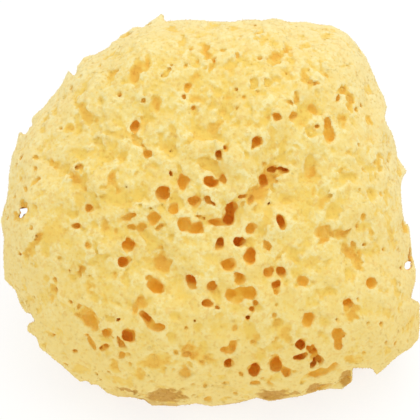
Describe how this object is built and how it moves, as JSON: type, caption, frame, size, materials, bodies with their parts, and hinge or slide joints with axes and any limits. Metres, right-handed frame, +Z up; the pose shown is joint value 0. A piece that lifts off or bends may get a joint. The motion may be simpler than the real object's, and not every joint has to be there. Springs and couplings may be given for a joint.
{
  "type": "sea sponge",
  "caption": "Natural honeycomb bath sponge: a rounded cream-yellow cushion of soft fibre, open all over with round canals and pits, cut off flat at the base where it grew.",
  "frame": {"origin": "middle of the object's footprint, on the plane of the flat cut that it rests on", "axes": "+X to the right as seen from the front and along the longest side, +Y from the front to the back, +Z up, away from the flat cut"},
  "size_m": [0.1508, 0.1298, 0.1165],
  "materials": {
    "sponge": "matte fibrous sponge skeleton, cream at the tips and golden to deep orange inside the pores"
  },
  "bodies": {
    "root": {"sponge": "sponge"}
  },
  "joints": []
}
